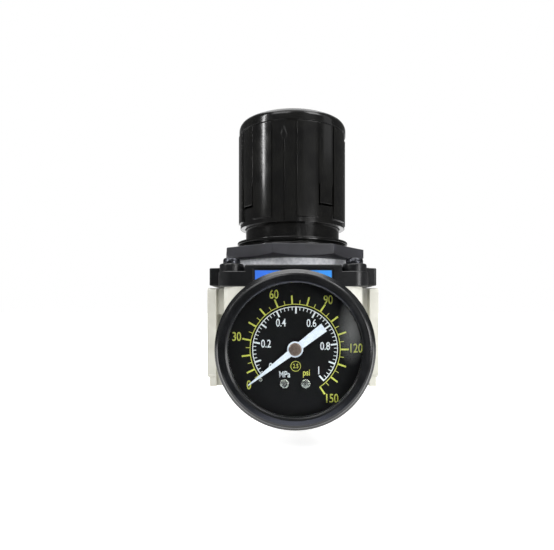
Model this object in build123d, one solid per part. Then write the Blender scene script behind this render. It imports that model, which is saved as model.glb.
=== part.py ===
from build123d import *
import os
from math import asin, atan, atan2, cos, degrees, pi, radians, sin, sqrt, tan

os.makedirs("parts", exist_ok=True)

# Frame: millimetres, +Z up, front towards -Y, ports along X.
# The origin is the centre of the flat underside of the bottom plug.

# Clearances
running_gap = 0.05       # radial gap of a turning or sliding fit
thread_gap = 0.05        # radial gap of a screwed joint
moulding_gap = 0.3       # air between a moving moulding and its neighbour
press_gap = 0.02         # radial gap of a piece pushed into its seat
valve_gap = 0.05         # play of the closed valve under the diaphragm
rim_gap = 0.1            # air round a piece that drops into a recess

# Die-cast body
plug_height = 10.0       # bottom plug below the body
body_half_x = 23.5
body_half_y = 27.0
body_corner_r = 5.0
body_height = 34.7
body_edge_r = 1.2
port_height = 16.6       # port axis above the body's underside
port_bore_r = 7.475      # G3/8, wall of the tapped hole
port_depth = 12.5
port_chamfer = 1.0
passage_r = 2.4
passage_step = 0.35      # passages clear of the seat web

# End flanges of the body, gripped by the couplings of neighbouring units
flange_thick = 3.2
flange_gap = 3.3         # groove between flange and body
flange_half_y = 17.3
flange_drop = 0.1        # flange top below the body top
flange_corner_r = 1.5
foot_height = 3.2        # lower strip of the flange, set back
foot_inset = 0.7
web_inset = 2.8          # web behind the flange's edge
pocket_over_bore = 1.225  # pockets above and below the port
pocket_wall = 2.525      # wall between the port and its pockets

# Valve chamber
chamber_r = 9.5
seat_bore_r = 5.0
seat_lip = 1.2           # width of the lip round the seat
seat_lip_height = 0.6
seat_web = 3.0
seat_below_axis = 1.1    # underside of the seat web below the port axis
outlet_chamber_r = 8.0
diaphragm_bowl_r = 16.5
diaphragm_bowl_depth = 2.7

# Diaphragm group
diaphragm_rim = 2.3      # held between body and bonnet
diaphragm_thick = 1.0
convolution_r = 1.1
convolution_inset = 1.8  # middle of the fold inside the bowl's wall
plate_inset = 0.6        # plate clear of the fold
plate_thick = 1.5
plate_spigot_gap = 0.6   # spigot clear of the spring's inner side
plate_spigot_height = 1.8
rivet_r = 3.0
rivet_flange_r = 7.0
rivet_flange_thick = 1.2
rivet_head_r = 4.2
rivet_head_thick = 0.8
rivet_head_gap = 1.0     # well in the plate round the rivet's head
relief_hole_r = 0.9
diaphragm_travel = 1.2

# Valve
poppet_guide_r = 3.0
poppet_disc_thick = 3.0
poppet_stem_r = 1.6
poppet_rim = 0.7         # rim of the cup outside the seat's lip
seal_thick = 1.3
seal_hold = 0.3          # seal stands this far out of its cup
poppet_ring_r = 0.55
valve_spring_wire = 0.8
valve_spring_turns = 5

# Bottom plug
plug_flange = 3.0        # flange beyond the chamber's wall
plug_foot_inset = 1.1
plug_foot_height = 1.6
plug_thread_length = 6.5
plug_flutes = 12
plug_flute_r = 1.5
plug_wall = 1.0          # wall left behind the O-ring's groove
plug_cavity_depth = 8.5
plug_guide_wall = 1.25
plug_guide_height = 5.0
plug_floor = 3.0
plug_ring_r = 0.9
plug_ring_below_top = 2.2

# Cover frame with its corner screws
frame_side_lap = 1.9     # frame beyond the body's side
frame_front_lap = 0.2    # frame beyond the body's front
frame_corner_r = 5.0
frame_height = 7.2
frame_ledge_drop = 2.2
frame_front_half_x = 16.1
frame_edge_r = 0.5
ear_inset = 0.7          # ears inside the body's end flanges
ear_lift = 0.7
ear_drop = 0.4
screw_inset_x = 2.5      # screws inside the body's sides
screw_inset_y = 6.0
boss_r = 4.15
boss_rise = 0.7
screw_r = 1.45
screw_hole_r = 1.7
screw_tap_r = 1.5
screw_head_r = 2.95
screw_head_height = 2.0
screw_depth = 9.0
screw_slot_width = 0.75
screw_slot_length = 3.2
screw_slot_depth = 1.0
label_inset = 3.1        # label inside the frame's front
label_base = 0.9         # label above the frame's underside
label_margin = 1.6       # label below the frame's top
label_thick = 0.2
label_recess = 0.3

# Bonnet with the panel thread
bonnet_flange_inset_y = 2.6
bonnet_flange_inset_x = 0.6
bonnet_flange_thick = 3.0
panel_thread_r = 21.0
panel_thread_pitch = 1.5
panel_thread_depth = 0.9
panel_thread_top = 17.6  # above the body top
neck_r = 17.8
neck_height = 5.7
neck_step = 0.8          # neck beyond the sleeve
sleeve_height = 20.0
sleeve_wall = 2.8
bonnet_roof = 4.0
spring_guide_depth = 1.3
spring_guide_width = 5.3
bead_height = 1.2
bead_rise = 0.6
bead_gap = 0.5           # bead above the knob's catches
vent_r = 0.8

# Clamp ring and panel nut
clamp_ring_width = 2.2
clamp_ring_height = 2.8
nut_corner_r = 27.3
nut_sides = 8
nut_height = 5.3
nut_turn = 7.5
nut_chamfer = 1.3

# Adjusting screw, spring nut and main spring
screw_thread_r = 4.0
adjust_pitch = 1.5
adjust_turns = 5
screw_collar_r = 7.5
screw_collar_thick = 3.0
washer_thick = 0.7
hex_across_flats = 6.8
hex_length = 9.7
screw_tail_spare = 4.5   # screw below the nut at the end of its travel
spring_nut_thick = 7.0
spring_nut_gap = 0.6     # nut clear of the bonnet's bore
spring_nut_top_gap = 1.3
spring_nut_spigot_gap = 0.4
spring_nut_spigot = 2.0
main_spring_wire = 3.0
main_spring_gap = 1.0    # spring clear of the bonnet's bore
main_spring_turns = 5.5

# Knob
knob_wall = 1.45
panel_rise = 0.65        # tall grip panels above the wall
tongue_rise = 0.4        # tongues and cap above the wall
knob_below_neck = 0.6    # knob's lower edge below the top of the neck
knob_height = 39.9
knob_top_r = 2.8
knob_roof = 2.5
knob_cap_height = 5.0    # cap band above the grip panels
knob_cap_groove = 0.35
knob_turned = 9.1        # grip recess turned to the left of the front
knob_travel = 4.0
knob_skirt_height = 5.6
knob_bore_step = 0.3
recess_half_angle = 13.0
recess_seam_width = 0.3
recess_seam_depth = 0.3
tall_panel_angle = 22.0
tall_panel_base = 1.7
tongue_base = 6.9
tongue_top = 13.8
slit_width = 0.7
panel_line = 0.25
catch_height = 1.5
catch_above_slit = 0.9
catch_half_angle = 4.0
socket_wall_r = 7.0
socket_rib = 1.6
seam_below_cap = 6.9
knob_mark_r = 1.1
knob_mark_height = 4.2
knob_mark_below_cap = 2.0
knob_mark_rise = 0.25

# Pressure gauge, measured forward from the regulator's upright axis
gauge_stem_r = 4.28      # G1/8, wall of the tapped hole
gauge_port_depth = 9.5
gauge_passage_r = 0.9
gauge_hex_flats = 12.0
gauge_hex_gap = 0.8
rear_plug_flats = 5.0
rear_plug_drop = 0.2
rear_plug_socket = 4.5
case_standoff = 8.5      # case in front of the body
case_r = 19.6
case_wall = 0.8
case_depth = 23.4
case_edge_r = 2.0
bezel_thick = 1.4        # bezel outside the case
bezel_lip_step = 0.65
bezel_inner_lip = 2.25   # bezel reaches in over the glass from the case's outside
bezel_over_glass = 1.1
bezel_depth = 6.0
glass_rim = 0.4          # glass inside the case's edge
glass_thick = 1.2
gasket_thick = 1.4
gasket_step = 0.35       # gasket behind the bezel's opening
dial_gap = 0.5           # dial clear of the case
dial_thick = 0.5
dial_drop = 0.3          # dial behind the case's edge
dial_hole_r = 1.2
dial_screw_x = 2.8
dial_screw_lift = 2.4    # dial screws above the plate's lower edge
dial_screw_r = 0.6
dial_screw_length = 2.5
dial_screw_head_r = 1.2
dial_screw_head = 0.5
dial_post_r = 1.7
stop_pin_r = 0.5
stop_pin_at = 12.1
stop_pin_height = 1.2

# Pointer and gear train
pointer_angle = 217.4    # counter-clockwise from the right, seen from the front
pointer_gap = 0.65       # pointer in front of the dial
pointer_thick = 0.3
pointer_tip_inset = 3.3  # tip inside the dial's edge
pointer_tail_at = 10.1
pointer_tip_half = 0.15
pointer_hub_half = 0.95
pointer_tail_half = 1.25
pointer_boss_r = 2.1
cap_r = 1.7
cap_height = 0.4
shaft_r = 0.6
shaft_end_gap = 0.2
gear_module = 0.22
pinion_teeth = 10
sector_teeth = 60        # teeth of the full wheel that the sector is cut from
gear_backlash = 0.08
gear_play = 0.04         # centre distance over the nominal
pressure_angle = 20.0
pinion_thick = 1.2
pinion_lap = 0.2         # pinion wider than the sector, on each side
sector_thick = 0.8
sector_pivot_angle = -55.0
sector_swing = 43.7      # turn of the sector over the pointer's range
sector_cut_teeth = 10
sector_rim = 1.1
sector_arm_angle = 9.0
sector_hub_r = 1.4
arbor_r = 0.5
tail_length = 3.5
tail_angle = -90.0
tail_half = 0.8
link_pin_r = 0.4
link_gap = 0.4           # link in front of the tip's ear
link_sector_gap = 1.0    # link behind the sector
link_thick = 0.6
link_half = 0.55
link_eye_r = 0.95
link_pin_gap = 0.1
movement_standoff = 9.9  # rear plate above the case's floor
plate_gap = 6.4
movement_plate_thick = 0.8
plate_side_inset = 6.8   # movement plates inside the middle of the tube
plate_foot_inset = 3.5
plate_top = 5.0
plate_corner_r = 2.5
pillar_r = 1.1
pillar_inset = 2.1
hairspring_width = 0.6
hairspring_thick = 0.12
hairspring_inner_r = 1.1
hairspring_pitch = 0.75
hairspring_turns = 3.5
hairspring_stud_r = 0.35
hairspring_gap = 0.2     # spring in front of the pinion
collet_r = 1.0

# Bourdon tube
tube_case_gap = 3.8      # middle of the tube inside the case's wall
tube_half_thick = 0.8
tube_width = 4.8
tube_wall = 0.25
tube_lift = 0.4          # tube in front of the rear plate's rear
tube_root_angle = 250.0
tube_end_angle = -5.0
tip_angle = 3.0
tip_grip = 0.1
tip_eye_angle = -15.0
tip_eye_r = 1.0
tip_plate_inset = 1.6
tip_plate_thick = 0.8
socket_half_x = 6.0
socket_top = 5.0
socket_wall = 1.4        # foot beyond the tube's outer side
socket_case_gap = 0.4
socket_neck_r = 6.0
socket_foot_left = -8.4
socket_foot_right = -1.0
socket_foot_step = 2.7   # foot above the tube's middle
socket_bore_stop = 2.5

# Sizes worked out from the ones above
flange_inner_x = body_half_x + flange_gap
flange_outer_x = flange_inner_x + flange_thick
web_half_y = flange_half_y - web_inset
pocket_half_z = port_bore_r + pocket_over_bore
pocket_web_half_y = port_bore_r + pocket_wall
frame_half_x = body_half_x + frame_side_lap
frame_half_y = body_half_y + frame_front_lap
ear_reach = flange_outer_x - ear_inset
screw_x = body_half_x - screw_inset_x
screw_y = body_half_y - screw_inset_y
label_half_x = frame_front_half_x - label_inset
label_height = frame_height - label_base - label_margin
seat_lip_r = seat_bore_r + seat_lip
poppet_disc_r = seat_lip_r + poppet_rim
plug_groove_r = chamber_r - 2 * plug_ring_r
plug_cavity_r = plug_groove_r - plug_wall
plug_guide_r = poppet_guide_r + running_gap + plug_guide_wall
plug_flange_r = chamber_r + plug_flange
plug_foot_r = plug_flange_r - plug_foot_inset
valve_spring_mean_r = (plug_guide_r + plug_cavity_r) / 2
diaphragm_r = diaphragm_bowl_r + diaphragm_rim
convolution_at = diaphragm_bowl_r - convolution_inset
plate_r = convolution_at - convolution_r - plate_inset
bonnet_flange_r = body_half_y - bonnet_flange_inset_y
bonnet_flange_half_x = body_half_x - bonnet_flange_inset_x
sleeve_r = neck_r - neck_step
spring_bore_r = sleeve_r - sleeve_wall
spring_guide_r = spring_bore_r + spring_guide_depth
main_spring_mean_r = spring_bore_r - main_spring_gap - main_spring_wire / 2
main_spring_inner_r = main_spring_mean_r - main_spring_wire / 2
plate_spigot_r = main_spring_inner_r - plate_spigot_gap
spring_nut_r = spring_bore_r - spring_nut_gap
spring_nut_spigot_r = main_spring_inner_r - spring_nut_spigot_gap
clamp_ring_r = panel_thread_r + clamp_ring_width
knob_bore_r = neck_r + moulding_gap
knob_upper_bore_r = knob_bore_r - knob_bore_step
knob_base_r = knob_bore_r + knob_wall
knob_r = knob_base_r + panel_rise
tongue_r = knob_base_r + tongue_rise
knob_cap_r = tongue_r
tongue_half_angle = 45.0 - recess_half_angle - tall_panel_angle
bezel_r = case_r + bezel_thick
bezel_lip_r = bezel_r - bezel_lip_step
bezel_opening_r = case_r - bezel_inner_lip
glass_r = case_r - glass_rim
gasket_inner_r = bezel_opening_r + gasket_step
dial_r = case_r - case_wall - dial_gap
pointer_tip_at = dial_r - pointer_tip_inset
tube_mean_r = case_r - case_wall - tube_case_gap
plate_right = tube_mean_r - plate_side_inset
plate_left = -plate_right
plate_bottom = plate_foot_inset - tube_mean_r
dial_screw_y = plate_bottom + dial_screw_lift
socket_bottom = tube_mean_r + socket_wall
socket_foot_top = -tube_mean_r + socket_foot_step

# Heights
body_top = plug_height + body_height
port_z = plug_height + port_height
seat_web_z = port_z - seat_below_axis
seat_lip_z = seat_web_z - seat_lip_height
outlet_floor_z = seat_web_z + seat_web
diaphragm_z = body_top - diaphragm_thick
bowl_floor_z = diaphragm_z - diaphragm_bowl_depth
plate_top_z = body_top + plate_thick
plug_top = plug_height + plug_thread_length
plug_cavity_z = plug_top - plug_cavity_depth
poppet_ring_z = plug_cavity_z + plug_guide_height / 2
seal_top = seat_lip_z - valve_gap
cup_top = seal_top - seal_hold
cup_base = cup_top - poppet_disc_thick
frame_top = body_top + frame_height
ring_top = frame_top + clamp_ring_height
nut_top = ring_top + nut_height
thread_top = body_top + panel_thread_top
neck_top = thread_top + neck_height
sleeve_top = neck_top + sleeve_height
roof_under = sleeve_top - bonnet_roof
collar_top = roof_under - washer_thick
collar_under = collar_top - screw_collar_thick
spring_nut_top = collar_under - spring_nut_top_gap
spring_nut_under = spring_nut_top - spring_nut_thick
spring_nut_travel = adjust_pitch * adjust_turns
screw_end = spring_nut_under - spring_nut_spigot - spring_nut_travel - screw_tail_spare
knob_base = neck_top - knob_below_neck
knob_top = knob_base + knob_height
cap_base = knob_top - knob_cap_height
slit_z = knob_base + tongue_base - slit_width
catch_z = slit_z + catch_above_slit
bead_z = catch_z + catch_height + bead_gap
socket_under = sleeve_top + knob_travel + 2 * moulding_gap
hex_top = sleeve_top + moulding_gap + hex_length
socket_roof = hex_top + knob_travel + moulding_gap
front_direction = 270.0
recess_direction = front_direction - knob_turned
corners = [(x, y) for x in (-screw_x, screw_x) for y in (-screw_y, screw_y)]

# Levels and places of the gauge, forward of the upright axis
case_rear = body_half_y + case_standoff
case_front = case_rear + case_depth
glass_rear = case_front + gasket_thick
glass_front = glass_rear + glass_thick
bezel_front = glass_front + bezel_over_glass
dial_front = case_front - dial_drop
dial_rear = dial_front - dial_thick
pointer_rear = dial_front + pointer_gap
pointer_front = pointer_rear + pointer_thick
rear_plate_at = case_rear + case_wall + movement_standoff
front_plate_at = rear_plate_at + movement_plate_thick + plate_gap
front_plate_top = front_plate_at + movement_plate_thick
tube_rear = rear_plate_at + tube_lift
tube_front = tube_rear + tube_width
tip_plate_rear = tube_rear + tip_plate_inset
tip_plate_front = tip_plate_rear + tip_plate_thick
link_rear = tip_plate_front + link_gap
sector_rear = link_rear + link_thick + link_sector_gap
pinion_rear = sector_rear - pinion_lap
pinion_front = pinion_rear + pinion_thick
hairspring_rear = pinion_front + hairspring_gap
pinion_pitch_r = gear_module * pinion_teeth / 2
sector_pitch_r = gear_module * sector_teeth / 2
gear_centres = pinion_pitch_r + sector_pitch_r + gear_play
pivot_x = gear_centres * cos(radians(sector_pivot_angle))
pivot_y = gear_centres * sin(radians(sector_pivot_angle))
tail_rest_angle = tail_angle - sector_swing / 2
tail_x = pivot_x + tail_length * cos(radians(tail_rest_angle))
tail_y = pivot_y + tail_length * sin(radians(tail_rest_angle))
eye_x = tube_mean_r * cos(radians(tip_eye_angle))
eye_y = tube_mean_r * sin(radians(tip_eye_angle))
pillar_places = [(plate_left + pillar_inset, plate_bottom + pillar_inset),
                 (plate_right - pillar_inset, plate_top - pillar_inset)]
pointer_slope = (pointer_hub_half - pointer_tip_half) / pointer_tip_at
pin_reach = (pointer_tip_half + pointer_slope * (pointer_tip_at - stop_pin_at)
             + stop_pin_r + running_gap)
stop_pin_angle = pointer_angle + degrees(asin(pin_reach / stop_pin_at))
stop_pin_x = stop_pin_at * cos(radians(stop_pin_angle))
stop_pin_y = stop_pin_at * sin(radians(stop_pin_angle))
mesh_turn = (sector_swing / 2 - 180 / sector_teeth) * sector_teeth / pinion_teeth


def block(x0, x1, y0, y1, z0, z1):
    """Box between two corners."""
    middle = Pos((x0 + x1) / 2, (y0 + y1) / 2, (z0 + z1) / 2)
    return middle * Box(x1 - x0, y1 - y0, z1 - z0)


def disc(r, z0, z1, x=0.0, y=0.0):
    """Upright cylinder between two heights."""
    return Pos(x, y, (z0 + z1) / 2) * Cylinder(r, z1 - z0)


def bore_x(r, x0, x1, z):
    """Cylinder along X."""
    return Pos((x0 + x1) / 2, 0, z) * Rot(0, 90, 0) * Cylinder(r, abs(x1 - x0))


def bore_y(r, y0, y1, z):
    """Cylinder along Y."""
    return Pos(0, (y0 + y1) / 2, z) * Rot(90, 0, 0) * Cylinder(r, abs(y1 - y0))


def slab(half_x, half_y, corner_r, z0, z1):
    """Plate with rounded upright corners."""
    face = RectangleRounded(2 * half_x, 2 * half_y, corner_r)
    return extrude(Pos(0, 0, z0) * face, z1 - z0)


def sector(r_in, r_out, start, end, z0, z1):
    """Piece of a ring between two angles in degrees and two heights."""
    inner = CenterArc((0, 0), r_in, start, end - start)
    outer = CenterArc((0, 0), r_out, start, end - start)
    sides = [Line(inner @ 0, outer @ 0), Line(inner @ 1, outer @ 1)]
    face = make_face([inner, outer] + sides)
    return Pos(0, 0, z0) * extrude(face, z1 - z0, dir=(0, 0, 1))


def polygon_prism(points, z0, z1):
    """Prism on a closed outline."""
    face = make_face(Polyline(*points, close=True))
    return Pos(0, 0, z0) * extrude(face, z1 - z0, dir=(0, 0, 1))


def turned(points):
    """Solid turned about Z from a closed outline of radius and height."""
    face = make_face(Polyline(*[(r, 0, z) for r, z in points], close=True))
    return revolve(face, Axis.Z, 360)


def coil(mean_r, wire, sides, z0, z1, turns, ground):
    """Compression spring of faceted wire, with its ends ground flat or left as cut."""
    overrun = wire / 2 if ground else -wire / 2
    length = z1 - z0 + 2 * overrun
    path = Pos(0, 0, z0 - overrun) * Helix(length / turns, length, mean_r)
    section = Plane(origin=path @ 0, z_dir=path % 0) * RegularPolygon(wire / 2, sides)
    spring = sweep(section, path=path, is_frenet=True)
    reach = mean_r + wire
    return spring & block(-reach, reach, -reach, reach, z0, z1) if ground else spring


def ring(mean_r, section_r, z):
    """Rubber ring of round section, in eight flats."""
    section = Pos(mean_r, 0, z) * Rot(90, 0, 0) * RegularPolygon(section_r, 8)
    return revolve(section, Axis.Z, 360)


def gear_outline(teeth, half_gap, addendum, dedendum, tooth_numbers, phase):
    """Outline points of involute teeth about the origin, counter-clockwise."""
    pitch_r = gear_module * teeth / 2
    base_r = pitch_r * cos(radians(pressure_angle))
    root_r = pitch_r - dedendum
    tip_r = pitch_r + addendum
    roll_at_pitch = tan(radians(pressure_angle)) - radians(pressure_angle)
    half_tooth = pi / (2 * teeth) - half_gap / pitch_r

    def flank_angle(r):
        """Half width of a tooth, as an angle, at a radius."""
        if r <= base_r:
            return half_tooth + roll_at_pitch
        roll = sqrt((r / base_r) ** 2 - 1)
        spread = roll - atan(roll)
        return half_tooth + roll_at_pitch - spread

    radii = [root_r, max(base_r, root_r + 0.01), pitch_r, tip_r]
    points = []
    for number in tooth_numbers:
        middle = radians(phase) + 2 * pi * number / teeth
        rising = [(r, middle - flank_angle(r)) for r in radii]
        falling = [(r, middle + flank_angle(r)) for r in reversed(radii)]
        points += [(r * cos(a), r * sin(a)) for r, a in rising + falling]
    return points


def write(piece, name):
    """Save one piece under its name."""
    piece.label = name
    export_step(piece, f"parts/{name}.step")


def make_body():
    """Die-cast body: block, two coupling flanges, valve chamber and ports."""
    shape = slab(body_half_x, body_half_y, body_corner_r, plug_height, body_top)
    shape = fillet(shape.edges().group_by(Axis.Z)[0], body_edge_r)
    web = block(0, flange_inner_x, -web_half_y, web_half_y, plug_height, body_top - flange_drop)
    for side in (-1, 1):
        outer = side * web_half_y
        inner = side * pocket_web_half_y
        web -= block(body_half_x, flange_inner_x, min(outer, inner), max(outer, inner),
                     port_z - pocket_half_z, port_z + pocket_half_z)
    plate_z0 = plug_height + foot_height
    plate = block(flange_inner_x, flange_outer_x, -flange_half_y, flange_half_y,
                  plate_z0, body_top - flange_drop)
    plate = fillet(plate.edges().filter_by(Axis.X), flange_corner_r)
    foot = block(flange_inner_x, flange_outer_x - foot_inset, -flange_half_y + foot_inset,
                 flange_half_y - foot_inset, plug_height, plate_z0 + flange_corner_r)
    end = web + plate + foot
    shape = shape + end + Rot(0, 0, 180) * end
    shape -= disc(chamber_r, plug_height, seat_web_z)
    shape += disc(seat_lip_r, seat_lip_z, seat_web_z)
    shape -= disc(seat_bore_r, seat_lip_z, outlet_floor_z)
    shape -= disc(outlet_chamber_r, outlet_floor_z, bowl_floor_z)
    shape -= disc(diaphragm_bowl_r, bowl_floor_z, diaphragm_z)
    shape -= disc(diaphragm_r + running_gap, diaphragm_z, body_top)
    blind_x = flange_outer_x - port_depth
    mouth = Pos(flange_outer_x - port_chamfer / 2, 0, port_z) * Rot(0, 90, 0) * Cone(
        port_bore_r, port_bore_r + port_chamfer, port_chamfer)
    for turn in (0, 180):
        shape -= Rot(0, 0, turn) * (bore_x(port_bore_r, blind_x, flange_outer_x, port_z) + mouth)
    low_z = seat_web_z - passage_step - passage_r
    high_z = outlet_floor_z + passage_step + passage_r
    shape -= bore_x(passage_r, -blind_x - 1, -chamber_r + 1, low_z)
    shape -= bore_x(passage_r, outlet_chamber_r - 1, blind_x + 1, high_z)
    gauge_floor = body_half_y - gauge_port_depth
    passage_z = outlet_floor_z + passage_step + gauge_passage_r
    for turn in (0, 180):
        tapped = bore_y(gauge_stem_r, -body_half_y, -gauge_floor, port_z)
        drilled = bore_y(gauge_passage_r, -gauge_floor - 1, -outlet_chamber_r + 1, passage_z)
        shape -= Rot(0, 0, turn) * (tapped + drilled)
    for x, y in corners:
        shape -= disc(screw_tap_r, body_top - screw_depth, body_top, x, y)
    return shape


def make_bottom_plug():
    """Screw-in valve guide with a fluted grip, an O-ring groove and the guide bore."""
    flange = disc(plug_flange_r, plug_foot_height, plug_height)
    foot = disc(plug_foot_r, 0, plug_foot_height)
    flange = chamfer(flange.edges().group_by(Axis.Z)[-1], 0.5)
    for number in range(plug_flutes):
        turn = Rot(0, 0, 360 * number / plug_flutes)
        flange -= turn * disc(plug_flute_r, plug_foot_height, plug_height,
                              plug_flange_r + plug_flute_r * 0.35, 0)
    shape = foot + flange + disc(chamber_r - thread_gap, plug_height, plug_top)
    ring_z = plug_top - plug_ring_below_top
    for start in (0, 180):
        shape -= sector(plug_groove_r, chamber_r + 1, start, start + 180, ring_z - plug_ring_r,
                        ring_z + plug_ring_r)
    guide_top = plug_cavity_z + plug_guide_height
    shape -= disc(plug_cavity_r, plug_cavity_z, plug_top)
    shape += disc(plug_guide_r, plug_cavity_z, guide_top)
    return shape - disc(poppet_guide_r + running_gap, plug_floor, guide_top)


def make_valve_poppet():
    """Brass poppet: guide, cup for the seal and the stem that meets the diaphragm."""
    guide_base = plug_floor + diaphragm_travel + moulding_gap
    shape = disc(poppet_guide_r, guide_base, cup_base)
    shape = chamfer(shape.edges().group_by(Axis.Z)[0], 0.4)
    shape += disc(poppet_disc_r, cup_base, cup_top)
    shape -= disc(poppet_disc_r - poppet_rim, seal_top - seal_thick, cup_top)
    stem_top = diaphragm_z - rivet_flange_thick - valve_gap
    stem = disc(poppet_stem_r, cup_base, stem_top)
    shape += chamfer(stem.edges().group_by(Axis.Z)[-1], poppet_stem_r - relief_hole_r / 2)
    groove_r = poppet_guide_r - 2 * poppet_ring_r + press_gap
    for start in (0, 180):
        shape -= sector(groove_r, poppet_guide_r + 1, start, start + 180,
                        poppet_ring_z - poppet_ring_r, poppet_ring_z + poppet_ring_r)
    return shape


def make_valve_seal():
    """Rubber disc held in the poppet's cup."""
    seal_base = seal_top - seal_thick
    seal = disc(poppet_disc_r - poppet_rim - press_gap, seal_base, seal_top)
    return seal - disc(poppet_stem_r + press_gap, seal_base, seal_top)


def make_spring_seat():
    """Plate on the diaphragm, with a spigot in the spring and a well for the rivet."""
    spigot_top = plate_top_z + plate_spigot_height
    seat = disc(plate_r, body_top, plate_top_z)
    seat += disc(plate_spigot_r, plate_top_z, spigot_top)
    seat -= disc(rivet_head_r + rivet_head_gap, plate_top_z, spigot_top)
    return seat - disc(rivet_r + press_gap, body_top, plate_top_z)


def make_diaphragm():
    """Rubber sheet with one round fold."""
    hump = disc(convolution_at + convolution_r, body_top, body_top + convolution_r)
    hump -= disc(convolution_at - convolution_r, body_top, body_top + convolution_r)
    sheet = disc(diaphragm_r, diaphragm_z, body_top)
    sheet += ring(convolution_at, convolution_r, body_top) & hump
    return sheet - disc(rivet_r + press_gap, diaphragm_z, body_top)


def make_relief_rivet():
    """Hollow rivet that holds plate and diaphragm together."""
    flange_base = diaphragm_z - rivet_flange_thick
    head_top = plate_top_z + rivet_head_thick
    rivet = disc(rivet_flange_r, flange_base, diaphragm_z)
    rivet += disc(rivet_r, diaphragm_z, plate_top_z)
    rivet += disc(rivet_head_r, plate_top_z, head_top)
    return rivet - disc(relief_hole_r, flange_base, head_top)


def make_rear_port_plug():
    """Plug in the spare gauge port, with a hexagon socket."""
    mouth = body_half_y - rear_plug_drop
    plug = bore_y(gauge_stem_r - thread_gap, body_half_y - gauge_port_depth + 1, mouth, port_z)
    face = RegularPolygon(rear_plug_flats / 2, 6, major_radius=False)
    socket = extrude(Plane(origin=(0, mouth, port_z), z_dir=(0, -1, 0)) * face, rear_plug_socket)
    return plug - socket


def make_label_plate():
    """Printed film in the recess on the frame's front."""
    rear = -frame_half_y + label_recess
    return block(-label_half_x, label_half_x, rear - label_thick, rear, body_top + label_base,
                 body_top + label_base + label_height)


def make_bonnet():
    """Moulded spring housing: flange, panel thread, neck and the sleeve in the knob."""
    flange = disc(bonnet_flange_r, body_top, body_top + bonnet_flange_thick)
    flange &= block(-bonnet_flange_half_x, bonnet_flange_half_x, -bonnet_flange_r,
                    bonnet_flange_r, body_top, body_top + bonnet_flange_thick)
    flange_top = body_top + bonnet_flange_thick
    crest = panel_thread_r
    valley = panel_thread_r - panel_thread_depth
    outline = [(0, flange_top), (crest, flange_top), (crest, nut_top)]
    level = nut_top
    while level + panel_thread_pitch < thread_top:
        outline += [(crest, level + 0.15 * panel_thread_pitch),
                    (valley, level + 0.5 * panel_thread_pitch),
                    (crest, level + 0.85 * panel_thread_pitch)]
        level += panel_thread_pitch
    outline += [(crest, thread_top), (neck_r, thread_top), (neck_r, neck_top),
                (sleeve_r, neck_top)]
    outline += [(sleeve_r, bead_z), (sleeve_r + bead_rise, bead_z),
                (sleeve_r + bead_rise, bead_z + bead_height / 2),
                (sleeve_r, bead_z + bead_height)]
    outline += [(sleeve_r, sleeve_top - 1.0), (sleeve_r - 1.0, sleeve_top), (0, sleeve_top)]
    shape = flange + turned(outline)
    shape -= disc(diaphragm_bowl_r, body_top, body_top + bonnet_flange_thick)
    shape -= disc(spring_bore_r, body_top, roof_under)
    half_width = spring_guide_width / 2
    guide = block(-spring_guide_r, spring_guide_r, -half_width, half_width,
                  body_top + bonnet_flange_thick, roof_under)
    shape -= guide & disc(spring_guide_r, body_top, roof_under)
    shape -= disc(screw_thread_r + running_gap, roof_under, sleeve_top)
    shape -= bore_y(vent_r, spring_bore_r - 1, panel_thread_r + 1, thread_top + neck_height / 2)
    return shape


def make_cover_frame():
    """Moulded frame over the bonnet flange: raised cross, corner ledges, bosses and ears."""
    ledge_top = frame_top - frame_ledge_drop
    shape = slab(frame_half_x, frame_half_y, frame_corner_r, body_top, ledge_top)
    shape += block(-frame_front_half_x, frame_front_half_x, -frame_half_y, frame_half_y,
                   body_top, frame_top)
    shape += block(-frame_half_x, frame_half_x, -flange_half_y, flange_half_y,
                   body_top, frame_top)
    shape = fillet(shape.edges().group_by(Axis.Z)[-1], frame_edge_r)
    for x, y in corners:
        boss = disc(boss_r, body_top, frame_top + boss_rise, x, y)
        shape += chamfer(boss.edges().group_by(Axis.Z)[-1], 0.4)
    for side in (-1, 1):
        near = side * (frame_half_x - 1)
        far = side * ear_reach
        ear = block(min(near, far), max(near, far), -flange_half_y, flange_half_y,
                    body_top + ear_lift, frame_top - ear_drop)
        shape += fillet(ear.edges().filter_by(Axis.Z), 0.8)
    hollow = disc(bonnet_flange_r + rim_gap, body_top, body_top + bonnet_flange_thick)
    half = bonnet_flange_half_x + rim_gap
    hollow &= block(-half, half, -frame_half_y, frame_half_y, body_top,
                    body_top + bonnet_flange_thick)
    shape -= hollow
    shape -= disc(panel_thread_r + rim_gap, body_top, frame_top)
    for x, y in corners:
        shape -= disc(screw_hole_r, body_top, frame_top + boss_rise, x, y)
    label_z = body_top + label_base
    shape -= block(-label_half_x - rim_gap, label_half_x + rim_gap, -frame_half_y,
                   -frame_half_y + label_recess, label_z - rim_gap,
                   label_z + label_height + rim_gap)
    return shape


def make_cover_screw():
    """Pan-head screw with a cross recess."""
    seat = frame_top + boss_rise
    top = seat + screw_head_height
    shoulder = seat + 0.55 * screw_head_height
    crown = seat + 0.87 * screw_head_height
    head = turned([(0, seat), (screw_head_r, seat), (screw_head_r, shoulder),
                   (0.93 * screw_head_r, crown), (0.75 * screw_head_r, top), (0, top)])
    half_slot = screw_slot_width / 2
    half_length = screw_slot_length / 2
    for turn in (0, 90):
        head -= Rot(0, 0, turn) * block(-half_length, half_length, -half_slot, half_slot,
                                        top - screw_slot_depth, top)
    shank = disc(screw_r, body_top - screw_depth + 1, seat)
    return head + chamfer(shank.edges().group_by(Axis.Z)[0], 0.4)


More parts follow.
